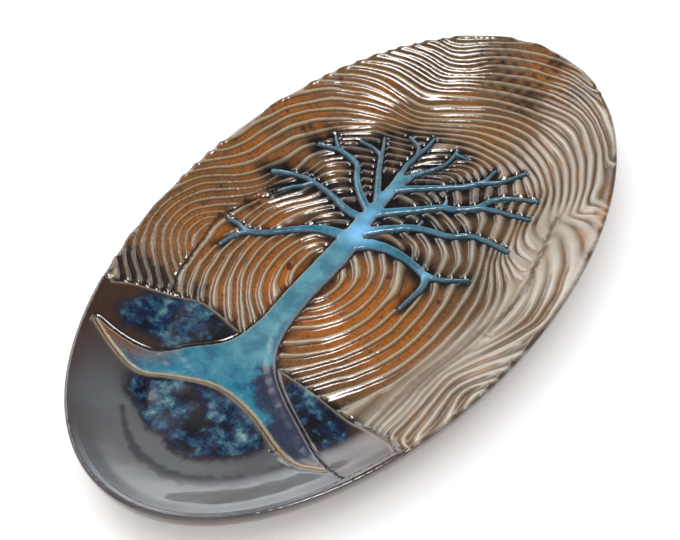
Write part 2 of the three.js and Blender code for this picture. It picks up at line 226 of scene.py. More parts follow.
    (17, [(65, 62), (72, 58.5), (83, 54.5)]),
    (22, [(65, 59), (72, 56), (83, 52)]),
    # arches over the crown
    (16, [(-60, 101), (-50, 101.8), (-40, 104), (-30, 107.5), (-20, 113), (-10, 118), (0, 121), (10, 121.5),
        (20, 120.5), (27, 117.5), (32, 111)]),
    (18, [(-82, 90.8), (-76, 97), (-69, 103), (-60, 108.6), (-50, 111), (-40, 113.8), (-30, 118.5),
        (-20, 124), (-10, 129), (0, 131.8), (10, 132.4), (20, 132), (32, 129.5), (41, 125)]),
    (20, [(-60, 122.5), (-50, 121.5), (-40, 122.7), (-30, 128.5), (-20, 135), (-10, 141), (0, 145),
        (10, 147), (21, 147), (33, 143.5), (44, 137), (54, 126.5), (62.5, 114), (67, 102), (70.5, 91),
        (76, 84), (83, 81)]),
    (22, [(-94.6, 110.7), (-88.3, 117), (-80, 123.2), (-70.6, 127.4), (-61.3, 129.5), (-50, 130),
        (-40, 133.5), (-30, 140.5), (-20, 147.5), (-10, 154), (0, 158.5), (10, 160.5), (22, 160.3),
        (34, 156.5), (45, 150.5), (56, 141), (65, 128.5), (72, 114.5), (76, 104)]),
    (24, [(-103, 116), (-99.8, 120), (-91.5, 129.5), (-83, 135.7), (-74.8, 141), (-68.5, 143),
        (-60.2, 144.6), (-52, 146), (-44, 151), (-34, 157.5), (-24, 163.5), (-12, 169), (0, 172), (10, 173),
        (20.4, 173.4), (30.8, 172), (39.2, 169.4), (47.5, 164.5), (56.9, 155.5), (65.2, 145), (73.5, 131.5),
        (78.8, 121), (82, 110), (85, 104)]),
    (26, [(-96, 136), (-88, 145), (-78, 151.3), (-69.6, 155.5), (-60.2, 158.2), (-51.5, 159.5),
        (-45, 162.5), (-38, 169), (-28, 176), (-16, 182), (-4, 186), (10, 188), (19.4, 188), (29.8, 186.2),
        (40.2, 182.6), (49.6, 177.4), (60, 169), (67.3, 160.7), (74.6, 151.3), (81, 140), (86, 128),
        (89, 118), (93, 113), (101, 109.5), (108, 107)]),
    (28, [(-84, 157), (-77.9, 160.7), (-70.6, 164.9), (-62.3, 168), (-52, 169.6), (-45, 172.5),
        (-38.3, 177.4), (-27.9, 187), (-18, 193), (-5, 197.8), (10, 199.4), (22, 199), (35, 196), (47, 190),
        (58, 181.5), (68, 171.5), (77, 161), (85, 149)]),
    (30, [(-74, 172), (-63.3, 178.4), (-54, 180.5), (-48, 184), (-41, 190.5), (-31, 198), (-18, 204.5),
        (-4, 208.5), (10, 209.6), (22, 208.8), (33, 205.5), (44, 200)]),
    (32, [(-62, 187), (-54, 191.5), (-46, 196.5), (-36, 204), (-24, 211)]),
    # the right flange, past the crease
    (25, [(86, 104), (94, 108), (106, 103), (113, 99)]),
    (23, [(79.5, 99), (89.8, 95.9), (98.9, 91.4), (106.8, 84.5), (113, 75)]),
    (22, [(81.5, 91), (88.6, 86.8), (97.7, 78.9), (104.5, 68.6), (110.2, 57.3), (113.6, 43.6),
        (115.9, 27.7), (116.6, 12), (113, 1), (108, -10.5), (100.7, -20.7), (93.9, -30.9), (88.8, -41),
        (87.8, -52), (88.3, -72), (88.2, -96)]),
    (21, [(84.5, 77.7), (93.2, 66.4), (101, 52.7), (105.7, 39), (109, 24.3), (109.6, 10), (105, 0.5),
        (99.5, -9.3), (93.9, -18.4), (88.5, -30), (85, -42), (84.3, -55), (84.8, -75), (84.2, -96)]),
    (20, [(86.5, 62), (94.3, 48.2), (100, 32.3), (102.8, 16.4), (101, 4), (95, -8), (90, -17)]),
    (19, [(88.6, 47), (93.8, 33.4), (96.4, 20.9), (95.5, 8), (92.5, -4)]),
    (23, [(119.5, -14), (109.8, -23), (100.7, -32), (95, -40), (92.7, -49), (93.3, -60), (94.6, -75),
        (96, -98)]),
    (24, [(119, -27), (108, -36), (101, -45.5), (98.5, -54), (99.8, -66), (101.3, -80), (103, -98)]),
    (25, [(118, -38), (108, -46), (104.8, -53), (106.6, -64), (110.5, -79), (112, -88)]),
    (26, [(119, -46), (112, -53), (113, -62), (116, -70)]),
]

# Across these lines the crests on the two sides don't meet.
LEFT_CREASE = [(-75, -83), (-79, -72.5), (-82, -64), (-83.6, -55), (-85.4, -46), (-86.6, -37), (-88.6, -28),
    (-89.6, -20), (-88, -12), (-86, -4), (-84, 4), (-81, 11), (-77, 15.5)]
RIGHT_CREASE = [(76, 101), (80, 90), (83, 75), (85, 60), (87, 43), (89, 27), (90.5, 10), (90.5, -4)]
FAN_EDGE = [(64, 60.5), (72, 57.2), (83, 53.2)]
BREAKS = (LEFT_CREASE, RIGHT_CREASE, FAN_EDGE)


# ---------------------------------------------------------------- shape of the dish

def smooth_step(value, low, high):
    """0 below low, 1 above high, and an easy curve between."""
    t = np.clip((value - low) / (high - low), 0, 1)
    return t * t * (3 - 2 * t)


def inset_of(x, y):
    """How far points are in from the oval's edge."""
    reach = np.hypot(x / HALF_WIDTH, y / HALF_LENGTH)
    steepness = np.hypot(x / HALF_WIDTH**2, y / HALF_LENGTH**2)
    inset = reach * (1 - reach) / np.maximum(steepness, 1e-6)
    return np.where(reach < 0.02, HALF_WIDTH, inset)


def moved_in(x, y, least):
    """The points, but those nearer the edge than `least` moved straight in to that inset."""
    across, along = x / HALF_WIDTH**2, y / HALF_LENGTH**2
    steepness = np.maximum(np.hypot(across, along), 1e-6)
    shift = np.maximum(least - inset_of(x, y), 0) / steepness
    return x - across * shift, y - along * shift


def rise_of(x, y):
    """0 on the well's floor and 1 at the rim."""
    climb = np.clip(1 - inset_of(x, y) / FLANGE_WIDTH, 0, 1)
    return climb**2 * (2 - climb)


def plate_face(x, y):
    """Height of the uncarved top face, as the CAD part has it."""
    return FLOOR_HEIGHT + WELL_DEPTH * rise_of(x, y)


def plate_top(x, y):
    """Height of the uncarved top face, with its soft rim edge."""
    inset = inset_of(x, y)
    top = plate_face(x, y)
    edge_radius, bead_height, bead_width = 1.3, 0.5, 3.2
    away = np.clip(1 - inset / edge_radius, 0, 1)
    edge_drop = edge_radius * (1 - np.sqrt(1 - away**2 * 0.98))
    return top + bead_height * np.exp(-((inset / bead_width) ** 2)) - edge_drop


def under_face(x, y):
    """Height of the slab's underside."""
    return FLOOR_HEIGHT - SLAB_THICKNESS + WELL_DEPTH * rise_of(x, y)


def wander(x, y, size):
    """A slow hand-made unevenness, from -1 to 1, about `size` from bump to bump."""
    u, v = x / size * 2 * math.pi, y / size * 2 * math.pi
    first = np.sin(0.93 * u + 0.41 * v + 1.3) * np.cos(0.27 * u - 0.88 * v + 0.4)
    second = np.sin(-0.52 * u + 1.37 * v + 2.1) * np.cos(1.21 * u + 0.33 * v + 5.2)
    return 0.6 * first + 0.4 * second


# ---------------------------------------------------------------- outlines of the relief

def top_outline(node):
    """The line segments (x1, y1, x2, y2) round the upward side of a CAD node."""
    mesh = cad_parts[node].data
    mesh.calc_loop_triangles()
    points = np.empty(len(mesh.vertices) * 3)
    mesh.vertices.foreach_get("co", points)
    points = points.reshape(-1, 3) * 1000
    on_top = points[:, 2] > plate_face(points[:, 0], points[:, 1]) - 0.5
    corners = np.empty(len(mesh.loop_triangles) * 3, np.int32)
    mesh.loop_triangles.foreach_get("vertices", corners)
    corners = corners.reshape(-1, 3)
    points = points[:, :2]
    place = {}
    edges = {}
    for triangle in corners[on_top[corners].all(1)]:
        keys = [tuple(np.round(points[k] * 50).astype(int)) for k in triangle]
        for key, k in zip(keys, triangle):
            place.setdefault(key, points[k])
        for start, end in ((0, 1), (1, 2), (2, 0)):
            if keys[start] != keys[end]:
                pair = (keys[start], keys[end])
                if pair[::-1] in edges:
                    edges.pop(pair[::-1])
                else:
                    edges[pair] = True
    return np.array([[*place[start], *place[end]] for start, end in edges])


def finely_cut(segments, step):
    """The segments cut into lengths of at most `step`: midpoints, and outward directions."""
    middles, outward = [], []
    for x1, y1, x2, y2 in segments:
        length = math.hypot(x2 - x1, y2 - y1)
        if length < 1e-6:
            continue
        count = max(1, math.ceil(length / step))
        share = (np.arange(count) + 0.5) / count
        middles.append(np.stack([x1 + (x2 - x1) * share, y1 + (y2 - y1) * share], 1))
        outward.append(np.tile([(y2 - y1) / length, (x1 - x2) / length], (count, 1)))
    return np.vstack(middles), np.vstack(outward)


def is_inside(segments, x, y):
    """Whether points are inside the closed outline: most of three rays cross it an odd number of times."""
    inside = np.zeros(x.shape, bool)
    low, high = segments.reshape(-1, 2).min(0), segments.reshape(-1, 2).max(0)
    near = (x >= low[0]) & (x <= high[0]) & (y >= low[1]) & (y <= high[1])
    px, py = x[near], y[near]
    right, left, up = (np.zeros(px.shape, bool) for _ in range(3))
    for x1, y1, x2, y2 in segments:
        if y1 != y2:
            level = (y1 > py) != (y2 > py)
            where = x1 + (py - y1) * (x2 - x1) / (y2 - y1)
            right ^= level & (px < where)
            left ^= level & (px > where)
        if x1 != x2:
            upright = (x1 > px) != (x2 > px)
            up ^= upright & (py < y1 + (px - x1) * (y2 - y1) / (x2 - x1))
    inside[near] = right.astype(int) + left + up >= 2
    return inside


class Shore:
    """A line with a near side, for signed distances from it."""

    def __init__(self, middles, outward):
        self.middles = middles
        self.outward = outward
        self.tree = KDTree(len(middles))
        for index, (x, y) in enumerate(middles):
            self.tree.insert((x, y, 0), index)
        self.tree.balance()

    def distance(self, x, y, farthest=1e9):
        """Plain distance of each point from the line, at most `farthest`."""
        low, high = self.middles.min(0) - farthest, self.middles.max(0) + farthest
        near = (x > low[0]) & (x < high[0]) & (y > low[1]) & (y < high[1])
        found = np.full(x.shape, float(farthest))
        values = []
        for px, py in zip(x[near], y[near]):
            place, index, gap = self.tree.find((px, py, 0))
            ox, oy = self.outward[index]
            square = abs((px - place[0]) * ox + (py - place[1]) * oy)
            values.append(max(square, math.sqrt(max(gap * gap - 0.04, 0))))
        found[near] = np.minimum(values, farthest) if values else found[near]
        return found

    def facing(self, x, y):
        """1 where the nearest part of the line faces the camera, -1 where it faces away."""
        found = [self.outward[self.tree.find((px, py, 0))[1]] for px, py in zip(x, y)]
        return np.array(found) @ TO_CAMERA


OUTLINES = {name: top_outline(name) for name in TREE_NODES + GROUND_NODES}
REACH = {name: Shore(*finely_cut(OUTLINES[name], 0.4)) for name in OUTLINES}


def free_shore(names, apart_from):
    """The outlines of these nodes, less what lies against another node in apart_from."""
    middles, outward = [], []
    for name in names:
        points, directions = REACH[name].middles, REACH[name].outward
        free = inset_of(points[:, 0], points[:, 1]) > 5.4
        beyond = points + directions * 0.12
        free &= ~is_inside(OUTLINES[name], beyond[:, 0], beyond[:, 1])
        for other in apart_from:
            if other != name:
                close = REACH[other].distance(points[:, 0], points[:, 1], 1.0) < 0.65
                close |= is_inside(OUTLINES[other], points[:, 0], points[:, 1])
                free &= ~close
        middles.append(points[free])
        outward.append(directions[free])
    return Shore(np.vstack(middles), np.vstack(outward))


TREE_SHORE = free_shore(TREE_NODES, TREE_NODES)
SKYLINE = free_shore(GROUND_NODES, TREE_NODES + GROUND_NODES)


def inside_any(names, x, y):
    """Whether points are in one of these nodes, or in the hairline gap between two."""
    covered = np.zeros(x.shape, bool)
    close = np.zeros(x.shape, int)
    for name in names:
        inside = is_inside(OUTLINES[name], x, y)
        covered |= inside
        near = ~inside
        gap = np.full(x.shape, 9.0)
        gap[near] = REACH[name].distance(x[near], y[near], 0.5)
        close += inside | (gap < 0.4)
    return covered | (close >= 2)


def tree_depth(x, y, farthest=14.0):
    """Signed distance from the tree's outline: positive on the tree."""
    gap = TREE_SHORE.distance(x, y, farthest)
    return np.where(inside_any(TREE_NODES, x, y), gap, -gap)


def ground_depth(x, y, farthest=14.0):
    """Signed distance from the hills' skyline: positive on the ground side."""
    x, y = moved_in(x, y, 5.6)
    gap = SKYLINE.distance(x, y, farthest)
    inside = inside_any(GROUND_NODES + TREE_NODES[:1], x, y)
    return np.where(inside & (y < 0), gap, -gap)


# ---------------------------------------------------------------- the grooves

def drawn_through(points, step):
    """A smooth line through a few points, as points about `step` apart."""
    points = np.array(points, float)
    ends = np.vstack([2 * points[0] - points[1], points, 2 * points[-1] - points[-2]])
    pieces = []
    for before, start, end, after in zip(ends[:-3], ends[1:-2], ends[2:-1], ends[3:]):
        count = max(2, int(np.hypot(*(end - start)) / step))
        t = np.linspace(0, 1, count, endpoint=False)[:, None]
        bend = (2 * before - 5 * start + 4 * end - after) * t**2
        turn = (-before + 3 * start - 3 * end + after) * t**3
        pieces.append(0.5 * (2 * start + (end - before) * t + bend + turn))
    return np.vstack(pieces + [points[-1:]])


class GrooveField:
    """Crest numbers over the whole dish, fitted through the strokes."""

    def __init__(self):
        self.low_x, self.low_y = -124.0, -219.0
        columns = int(-2 * self.low_x / FIELD_CELL) + 1
        rows = int(-2 * self.low_y / FIELD_CELL) + 1
        self.shape = (rows, columns)
        x = self.low_x + np.arange(columns) * FIELD_CELL
        y = self.low_y + np.arange(rows) * FIELD_CELL
        x, y = np.meshgrid(x, y)
        self.wall = tree_depth(x.ravel(), y.ravel(), 3.0).reshape(self.shape) > -0.4
        for line in BREAKS:
            for nudge in ((0, 0), (0.5, 0), (0, 0.5)):
                self.wall[self.cells(drawn_through(line, 0.3) + nudge)] = True
        self.numbers = self.smoothed(self.fitted())

    def cells(self, points):
        """Row and column of the cells that points fall in."""
        columns = np.round((points[:, 0] - self.low_x) / FIELD_CELL).astype(int)
        rows = np.round((points[:, 1] - self.low_y) / FIELD_CELL).astype(int)
        return np.clip(rows, 0, self.shape[0] - 1), np.clip(columns, 0, self.shape[1] - 1)

    def fitted(self):
        """The least bent field of numbers that keeps near each stroke's number along it."""
        total, count = np.zeros(self.shape), np.zeros(self.shape)
        for number, points in STROKES:
            mark = np.zeros(self.shape, bool)
            mark[self.cells(drawn_through(points, 0.3))] = True
            total[mark] += number
            count[mark] += 1
        clear = ~self.wall
        drawn = (count > 0) & clear
        pull = np.where(drawn, STROKE_PULL, 0)
        wanted = pull * total / np.maximum(count, 1)
        square = clear[:-1, :-1] & clear[:-1, 1:] & clear[1:, :-1] & clear[1:, 1:]

        def stiffness(values):
            """How far the field is from rest at each cell."""
            out = pull * values
            for here, rest, free in ((values.T, out.T, clear.T), (values, out, clear)):
                bend = (here[:-2] - 2 * here[1:-1] + here[2:]) * (free[:-2] & free[1:-1] & free[2:])
                rest[:-2] += bend
                rest[1:-1] -= 2 * bend
                rest[2:] += bend
            twist = values[:-1, :-1] - values[:-1, 1:] - values[1:, :-1] + values[1:, 1:]
            twist = twist * square * 2
            out[:-1, :-1] += twist
            out[:-1, 1:] -= twist
            out[1:, :-1] -= twist
            out[1:, 1:] += twist
            for here, rest, free in ((values.T, out.T, clear.T), (values, out, clear)):
                slope = (here[1:] - here[:-1]) * (free[1:] & free[:-1]) * TENSION
                rest[1:] += slope
                rest[:-1] -= slope
            return out

        found = np.full(self.shape, 15.0)
        left_over = np.where(clear, wanted - stiffness(found), 0)
        ease = np.where(clear, 1 / (16 + pull), 0)
        step = ease * left_over
        size = (left_over * step).sum()
        for _ in range(1500):
            moved = np.where(clear, stiffness(step), 0)
            share = size / (step * moved).sum()
            found = found + share * step
            left_over = left_over - share * moved
            if np.abs(left_over).max() < 2e-4:
                break
            scaled = ease * left_over
            new_size = (left_over * scaled).sum()
            step = scaled + new_size / size * step
            size = new_size
        return found

    def smoothed(self, values):
        """Values averaged once with their open neighbours, then carried a little into the walls."""
        weight = (~self.wall).astype(float)
        values = values * weight
        for turn in range(7):
            total, near = values * 4, weight * 4
            for axis in (0, 1):
                for side in (1, -1):
                    total = total + np.roll(values, side, axis)
                    near = near + np.roll(weight, side, axis)
            spread = np.where(near > 0, total / np.maximum(near, 1e-9), 0)
            if turn == 0:
                values = np.where(self.wall, 0, spread)
            else:
                values = np.where(weight > 0, values, spread)
                weight = np.where(near > 0, 1.0, 0.0)
        return values

    def at(self, x, y):
        """The crest number at points."""
        column = np.clip((x - self.low_x) / FIELD_CELL, 0, self.shape[1] - 1.001)
        row = np.clip((y - self.low_y) / FIELD_CELL, 0, self.shape[0] - 1.001)
        left, down = column.astype(int), row.astype(int)
        across, up = column - left, row - down
        values = self.numbers
        lower = values[down, left] * (1 - across) + values[down, left + 1] * across
        upper = values[down + 1, left] * (1 - across) + values[down + 1, left + 1] * across
        return lower * (1 - up) + upper * up


GROOVES = GrooveField()


def crest_number(x, y):
    """The crest number at points, with a slow unevenness of the hand."""
    return GROOVES.at(x, y) + STRAY_SHARE * wander(x, y, STRAY_SIZE)


def crest_share(number, broad=0.0):
    """1 on a crest and 0 in the groove; broad ridges leave only a narrow groove."""
    away = np.abs(number - np.round(number))
    half_width = 0.33 + 0.17 * broad
    wave = 0.5 + 0.5 * np.cos(np.pi * np.minimum(away / half_width, 1))
    return wave ** (1 - 0.35 * broad)


def groove_pitch(x, y):
    """Distance from crest to crest at points."""
    step = 0.8
    slope_x = (GROOVES.at(x + step, y) - GROOVES.at(x - step, y)) / (2 * step)
    slope_y = (GROOVES.at(x, y + step) - GROOVES.at(x, y - step)) / (2 * step)
    return 1 / np.maximum(np.hypot(slope_x, slope_y), 0.06), slope_x, slope_y


# ---------------------------------------------------------------- meshes

def make_piece(name, points, faces, material, values=None):
    """An object from points in millimetres, with smooth shading and its named values."""
    mesh = bpy.data.meshes.new(name)
    mesh.from_pydata((np.asarray(points) / 1000).tolist(), [], faces)
    mesh.update()
    mesh.shade_smooth()
    for key, value in (values or {}).items():
        layer = mesh.attributes.new(key, "FLOAT", "POINT")
        layer.data.foreach_set("value", np.asarray(value, np.float32))
    mesh.materials.append(material)
    piece = bpy.data.objects.new(name, mesh)
    bpy.context.scene.collection.objects.link(piece)
    return piece


def grid_patch(keep, heights):
    """Triangles over the kept grid points, each square cut along its flatter diagonal."""
    rows, columns = keep.shape
    index = np.arange(rows * columns).reshape(rows, columns)
    a, b = index[:-1, :-1], index[:-1, 1:]
    c, d = index[1:, 1:], index[1:, :-1]
    kept = keep.ravel()
    flat = heights.ravel()
    a, b, c, d = (corner.ravel() for corner in (a, b, c, d))
    whole = kept[a] & kept[b] & kept[c] & kept[d]
    first = np.abs(flat[a] - flat[c]) <= np.abs(flat[b] - flat[d])
    cut = [
        (whole & first, (a, b, c)), (whole & first, (a, c, d)),
        (whole & ~first, (a, b, d)), (whole & ~first, (b, c, d)),
        (kept[a] & kept[b] & kept[c] & ~kept[d], (a, b, c)),
        (kept[a] & kept[c] & kept[d] & ~kept[b], (a, c, d)),
        (kept[a] & kept[b] & kept[d] & ~kept[c], (a, b, d)),
        (kept[b] & kept[c] & kept[d] & ~kept[a], (b, c, d)),
    ]
    return np.vstack([np.stack([corner[pick] for corner in corners], 1) for pick, corners in cut])


def compacted(triangles, *columns):
    """The triangles renumbered over the points they use, with those points' values."""
    used, renumbered = np.unique(triangles, return_inverse=True)
    return (renumbered.reshape(-1, 3), *(column[used] for column in columns))


def open_edges(triangles):
    """The directed edges that only one triangle has."""
    edges = np.vstack([triangles[:, [0, 1]], triangles[:, [1, 2]], triangles[:, [2, 0]]])
    have = set(map(tuple, edges.tolist()))
    return np.array([edge for edge in edges.tolist() if (edge[1], edge[0]) not in have])


def make_patch(name, triangles, x, y, z, material, values):
    """A closed piece: the patch, a copy of it under the field, and a wall joining the two."""
    count = len(x)
    field_below, thickness = 1.9, 1.2
    floor_z = np.minimum(z, plate_top(x, y) - field_below) - thickness
    border = open_edges(triangles)
    start, end = border[:, 0], border[:, 1]
    faces = [triangles, triangles[:, ::-1] + count]
    faces.append(np.stack([start, start + count, end + count], 1))
    faces.append(np.stack([start, end + count, end], 1))
    points = np.vstack([np.stack([x, y, z], 1), np.stack([x, y, floor_z], 1)])
    values = {key: np.concatenate([value, value]) for key, value in values.items()}
    return make_piece(name + "_glazed", points, np.vstack(faces).tolist(), material, values)


def grid_over(low, high, cell):
    """Grid points covering a box, on one lattice that every piece shares."""
    start_x, start_y = math.floor(low[0] / cell) * cell, math.floor(low[1] / cell) * cell
    x = start_x + np.arange(int((high[0] - start_x) / cell) + 2) * cell
    y = start_y + np.arange(int((high[1] - start_y) / cell) + 2) * cell
    return np.meshgrid(x, y)


# ---------------------------------------------------------------- glazes

class Glaze:
    """Builds one node material: attributes and noises in, one glossy shader out."""

    def __init__(self, name):
        self.material = bpy.data.materials.new(name)
        self.material.use_nodes = True
        self.nodes = self.material.node_tree.nodes
        self.links = self.material.node_tree.links
        self.shader = self.nodes["Principled BSDF"]
        self.place = self.nodes.new("ShaderNodeTexCoord").outputs["Object"]

    def value(self, name):
        """A value set on the mesh's points."""
        node = self.nodes.new("ShaderNodeAttribute")
        node.attribute_name = name
        return node.outputs["Fac"]

    def noise(self, size, detail=4.0, roughness=0.55, shift=0.0):
        """Cloudy noise, with blotches about `size` millimetres across."""
        move = self.nodes.new("ShaderNodeMapping")
        move.inputs["Location"].default_value = (shift, shift * 0.7, shift * 0.3)
        self.links.new(self.place, move.inputs["Vector"])
        node = self.nodes.new("ShaderNodeTexNoise")
        node.inputs["Scale"].default_value = 1000 / size
        node.inputs["Detail"].default_value = detail
        node.inputs["Roughness"].default_value = roughness
        self.links.new(move.outputs["Vector"], node.inputs["Vector"])
        return node.outputs["Fac"]

    def feed(self, socket, what):
        """Sets a socket from another socket, a number or a colour."""
        if isinstance(what, bpy.types.NodeSocket):
            self.links.new(what, socket)
        elif isinstance(what, tuple):
            socket.default_value = (*what, 1)
        else:
            socket.default_value = what

    def calc(self, kind, first, second, third=None):
        """One step of arithmetic on numbers."""
        node = self.nodes.new("ShaderNodeMath")
        node.operation = kind
        for socket, what in zip(node.inputs, (first, second, third)):
            if what is not None:
                self.feed(socket, what)
        return node.outputs["Value"]

    def times(self, first, second):
        """The product of two numbers."""
        return self.calc("MULTIPLY", first, second)

    def between(self, value, low, high, start=0.0, end=1.0):
        """value from low to high, eased into start to end."""
        node = self.nodes.new("ShaderNodeMapRange")
        node.interpolation_type = "SMOOTHSTEP"
        self.feed(node.inputs["Value"], value)
        for socket, number in (("From Min", low), ("From Max", high), ("To Min", start), ("To Max", end)):
            node.inputs[socket].default_value = number
        return node.outputs["Result"]

    def mix(self, first, second, share):
        """Two colours mixed, where share is how much of the second."""
        node = self.nodes.new("ShaderNodeMix")
        node.data_type = "RGBA"
        # The node has these sockets for each kind of value; 6, 7 and 2 are the colour ones.
        self.feed(node.inputs["Factor"], share)
        self.feed(node.inputs[6], first)
        self.feed(node.inputs[7], second)
        return node.outputs[2]

    def coats(self, colour, *over):
        """A colour with others laid over it in turn, each as (colour, share)."""
        for coat, share in over:
            colour = self.mix(colour, coat, share)
        return colour

    def finish(self, colour, roughness, bump_height, bump_depth, coat=0.55):
        """Joins the colour, gloss and bumps to the shader."""
        self.feed(self.shader.inputs["Base Color"], colour)
        self.feed(self.shader.inputs["Roughness"], roughness)
        self.shader.inputs["Coat Weight"].default_value = coat
        self.shader.inputs["Coat Roughness"].default_value = 0.05
        bump = self.nodes.new("ShaderNodeBump")
        bump.inputs["Strength"].default_value = 1.0
        bump.inputs["Distance"].default_value = bump_depth / 1000
        self.feed(bump.inputs["Height"], bump_height)
        self.links.new(bump.outputs["Normal"], self.shader.inputs["Normal"])
        return self.material


NAVY = (0.008, 0.013, 0.042)
BLACK = (0.006, 0.005, 0.006)
SEA_GREEN = (0.19, 0.32, 0.31)


def ground_colour(glaze):
    """Navy and sea-green clouds where the glaze is thick, lavender taupe elsewhere."""
    cloud = glaze.noise(26, 7, 0.68)
    fine = glaze.noise(7, 6, 0.72, shift=3.0)
    drift = glaze.noise(55, 3, 0.5, shift=1.4)
    mixed = glaze.calc("MULTIPLY_ADD", fine, 0.5, glaze.times(cloud, 0.58))
    patch = glaze.coats(
        BLACK, (NAVY, glaze.between(cloud, 0.42, 0.54)),
        ((0.013, 0.058, 0.110), glaze.between(mixed, 0.52, 0.59)),
        (SEA_GREEN, glaze.between(mixed, 0.57, 0.72)))
    mist = glaze.times(glaze.value("mist"), glaze.between(drift, 0.34, 0.58, 0.45, 1.0))
    plain = glaze.coats(
        (0.046, 0.022, 0.016), ((0.082, 0.098, 0.112), mist),
        ((0.175, 0.190, 0.200), glaze.value("halo")),
        ((0.030, 0.028, 0.032), glaze.times(glaze.value("front_dark"), 0.7)))
    ragged = glaze.calc("MULTIPLY_ADD", glaze.noise(14, 7, 0.72, shift=5.0), 0.8, glaze.value("thick"))
    return glaze.coats(
        plain, ((0.020, 0.017, 0.026), glaze.between(ragged, 0.58, 0.86)),
        (patch, glaze.between(ragged, 0.78, 1.08)),
        ((0.24, 0.19, 0.13), glaze.times(glaze.value("edge"), glaze.between(fine, 0.3, 0.6, 0.55, 1.0))),
        (BLACK, glaze.value("pool")))


def make_ground_glaze(name):
    """The hills' and the front ground's glaze."""
    glaze = Glaze(name)
    colour = ground_colour(glaze)
    ripple = glaze.noise(9, 2, 0.4)
    roughness = glaze.between(glaze.noise(18, 3), 0.3, 0.7, 0.16, 0.26)
    return glaze.finish(colour, roughness, ripple, 0.18)


def make_field_glaze():
    """The carved field: dark or amber grooves, pale crests, black pools, dark rim side, and painted sheen,
    highlights and shade.
    """
    glaze = Glaze("field_glaze")
    crest, amber, dark, bare = (glaze.value(key) for key in ("crest", "amber", "dark", "bare"))
    cloud = glaze.noise(22, 5, 0.6)
    speck = glaze.noise(2.2, 5, 0.7, shift=2.0)
    blots = glaze.between(glaze.noise(15, 6, 0.68, shift=6.0), 0.57, 0.68, 0.0, 0.8)
    warm = glaze.times(amber, glaze.between(cloud, 0.32, 0.60, 0.25, 1.0))
    worn = glaze.calc("MULTIPLY_ADD", glaze.calc("SUBTRACT", speck, 0.5), 0.22, crest)
    trough = glaze.coats(
        (0.115, 0.070, 0.034), ((0.37, 0.112, 0.015), warm),
        ((0.050, 0.022, 0.010), glaze.between(speck, 0.47, 0.70, 0.0, 0.75)),
        ((0.012, 0.008, 0.008), glaze.calc("MAXIMUM", dark, blots)))
    shoulder = glaze.coats(
        (0.150, 0.103, 0.064), ((0.225, 0.108, 0.042), warm), ((0.055, 0.045, 0.040), dark))
    ridge = glaze.coats(
        (0.23, 0.185, 0.125), ((0.30, 0.215, 0.115), amber),
        ((0.10, 0.082, 0.070), glaze.times(dark, 0.75)),
        ((0.28, 0.14, 0.06), glaze.between(cloud, 0.50, 0.70, 0.0, 0.6)),
        ((0.42, 0.215, 0.075), glaze.times(glaze.value("tan"), glaze.between(worn, 0.45, 0.95, 0.9, 0.45))))
    # A bright line on each crest: glaze breaking thin there, and partly a painted highlight.
    bright = glaze.times(glaze.between(worn, 0.84, 1.0, 0.0, 0.6), glaze.calc("SUBTRACT", 1.0, dark))
    stain = glaze.between(cloud, 0.44, 0.64, 0.0, 0.75)
    # The pale look: paler glaze with a painted sheen of the bright backdrop over it.
    pale = glaze.coats(
        (0.075, 0.046, 0.028), ((0.22, 0.165, 0.12), glaze.between(worn, 0.04, 0.34)),
        ((0.42, 0.375, 0.325), glaze.between(worn, 0.40, 0.98)),
        ((0.30, 0.145, 0.055), glaze.times(stain, glaze.between(worn, 0.2, 0.9, 1.0, 0.35))))
    side = glaze.mix((0.022, 0.012, 0.011), (0.065, 0.036, 0.028), glaze.between(cloud, 0.35, 0.65))
    clay = glaze.mix((0.19, 0.12, 0.085), (0.27, 0.18, 0.125), glaze.between(speck, 0.35, 0.65))
    colour = glaze.coats(
        # A dark line beside each crest: partly glaze pooled there, partly a painted dark reflection.
        trough, ((0.030, 0.016, 0.010), glaze.between(worn, 0.20, 0.38, 0.0, 0.85)),
        (shoulder, glaze.between(worn, 0.36, 0.52)), (ridge, glaze.between(worn, 0.62, 0.84)),
        ((0.50, 0.44, 0.33), bright), (pale, glaze.times(glaze.value("pale"), 0.85)),
        ((0.37, 0.32, 0.25), glaze.times(glaze.value("band"), 0.6)),
        # Painted shade: a dark line along the bend of the dish.
        ((0.115, 0.072, 0.048), glaze.times(glaze.value("bend_shade"), 0.85)),
        (BLACK, glaze.value("pool")), (ground_colour(glaze), glaze.value("ground")),
        (side, glaze.value("side")), (clay, bare))
    gloss = glaze.between(glaze.noise(14, 3), 0.3, 0.7, 0.14, 0.25)
    dull = glaze.calc("MAXIMUM", glaze.times(bare, 0.75), gloss)
    return glaze.finish(colour, dull, glaze.noise(5, 3, 0.5), 0.16)


